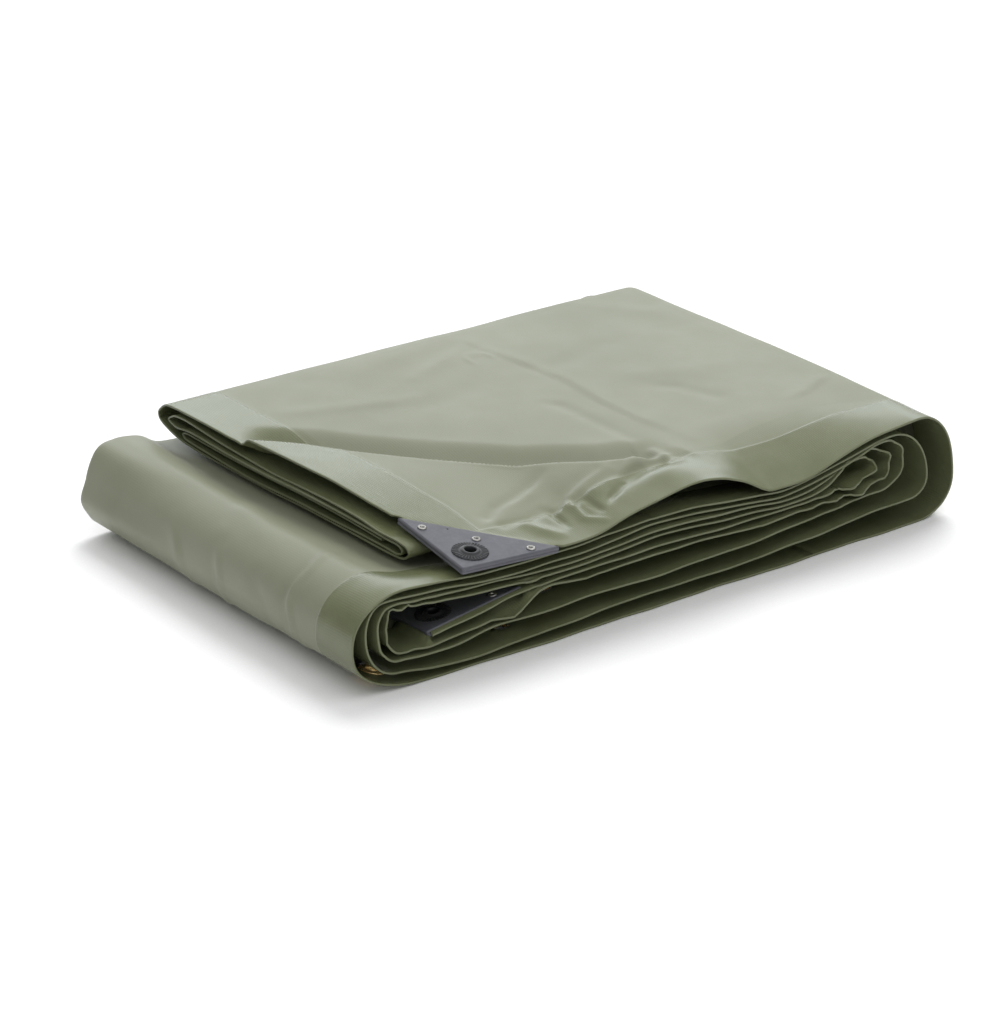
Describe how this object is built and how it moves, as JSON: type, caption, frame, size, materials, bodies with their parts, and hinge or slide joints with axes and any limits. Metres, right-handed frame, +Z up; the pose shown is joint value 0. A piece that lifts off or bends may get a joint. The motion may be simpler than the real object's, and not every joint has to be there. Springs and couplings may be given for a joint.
{
  "type": "folded tarpaulin",
  "caption": "Coated cloth tarpaulin rolled flat into a low pack, its pleated outer panel on top with a lifted corner flap, moulded corner plates and hem eyelets.",
  "frame": {"origin": "centre of the bounding box on the surface that the pack lies on", "axes": "+X along the pack from its left end to its right end, +Y from the open front edges to the back, +Z up"},
  "size_m": [0.7384, 0.5038, 0.1185],
  "materials": {
    "cloth": "satin coated cloth",
    "plate": "satin",
    "ring": "semi gloss",
    "steel": "polished",
    "brass": "polished"
  },
  "bodies": {
    "root": {"tarp_cloth": "cloth", "corner_plate_1": "plate", "corner_plate_2": "plate", "corner_ring_1": "ring", "corner_ring_2": "ring", "corner_rivet_1_1": "steel", "corner_rivet_1_2": "steel", "corner_rivet_1_3": "steel", "corner_rivet_2_1": "steel", "corner_rivet_2_2": "steel", "corner_rivet_2_3": "steel", "eyelet_1": "brass", "eyelet_2": "brass", "eyelet_3": "brass"}
  },
  "joints": []
}
